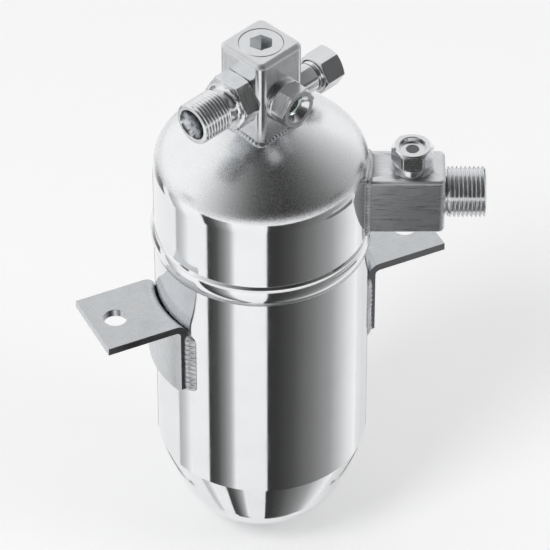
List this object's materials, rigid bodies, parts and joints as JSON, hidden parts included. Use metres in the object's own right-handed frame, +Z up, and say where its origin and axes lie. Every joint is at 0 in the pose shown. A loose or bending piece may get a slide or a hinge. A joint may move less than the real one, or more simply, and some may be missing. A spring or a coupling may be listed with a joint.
{
  "type": "filter drier",
  "caption": "Refrigerant filter drier: round steel can with domed ends, head block with outlet, sight glass and service port, side inlet block, strap brackets.",
  "frame": {"origin": "on the can's axis, in the plane of the underside of the two bracket tabs, midway between their holes", "axes": "+Z up along the can's axis towards the head block, +X along the side inlet block"},
  "size_m": [0.1517, 0.087, 0.2264],
  "materials": {
    "can_steel": "bright plated drawn steel",
    "block_steel": "satin plated machined steel",
    "fitting_steel": "bright plated turned steel",
    "bracket_steel": "satin plated sheet steel",
    "weld_metal": "rippled weld bead",
    "spring_steel": "oil-tempered wire",
    "screen_steel": "perforated sheet",
    "tube_steel": "drawn tube",
    "core_brass": "turned brass",
    "fusible_alloy": "dull cast tin and bismuth alloy",
    "seal_rubber": "matt synthetic rubber",
    "sight_glass": "clear polished glass",
    "felt": "pressed fibre felt",
    "desiccant": "packed molecular sieve beads"
  },
  "bodies": {
    "canister": {"upper_shell": "can_steel", "lower_shell": "can_steel", "girth_weld": "weld_metal", "lower_screen": "screen_steel", "upper_screen": "screen_steel", "lower_pad": "felt", "upper_pad": "felt", "desiccant_bed": "desiccant", "bed_spring": "spring_steel", "pickup_tube": "tube_steel", "tube_strainer": "screen_steel", "head_block": "block_steel", "head_block_weld": "weld_metal", "socket_plug": "fitting_steel", "socket_plug_seal": "seal_rubber", "outlet_fitting": "fitting_steel", "outlet_seal": "seal_rubber", "sight_glass_body": "fitting_steel", "sight_glass_lens": "sight_glass", "sight_glass_seal": "seal_rubber", "service_stem": "fitting_steel", "service_stem_seal": "seal_rubber", "valve_core": "core_brass", "inlet_block": "block_steel", "inlet_block_weld": "weld_metal", "fusible_plug": "fitting_steel", "fusible_core": "fusible_alloy", "fusible_plug_seal": "seal_rubber", "right_bracket": "bracket_steel", "right_bracket_front_weld": "weld_metal", "right_bracket_rear_weld": "weld_metal", "left_bracket": "bracket_steel", "left_bracket_front_weld": "weld_metal", "left_bracket_rear_weld": "weld_metal"},
    "cap_seal": {"service_cap_seal": "seal_rubber"},
    "cap": {"service_cap": "fitting_steel"},
    "pin": {"valve_pin": "core_brass"}
  },
  "joints": [
    {"name": "cap_travel", "type": "slide", "parent": "canister", "child": "cap_seal", "axis": [0.7071, 0.7071, 0], "range_m": [0, 0.0064]},
    {"name": "cap_turn", "type": "hinge", "parent": "cap_seal", "child": "cap", "pos_m": [0, 0, 0.0824], "axis": [0.7071, 0.7071, 0], "range_deg": [0, 1800]},
    {"name": "pin_press", "type": "slide", "parent": "canister", "child": "pin", "axis": [-0.7071, -0.7071, 0], "range_m": [0, 0.0012], "stiffness_N_per_m": 1500, "springref_m": -0.0015}
  ],
  "couplings": [
    {"joint": "cap_travel", "follows": "cap_turn", "m_per_rad": 0.00020213}
  ]
}
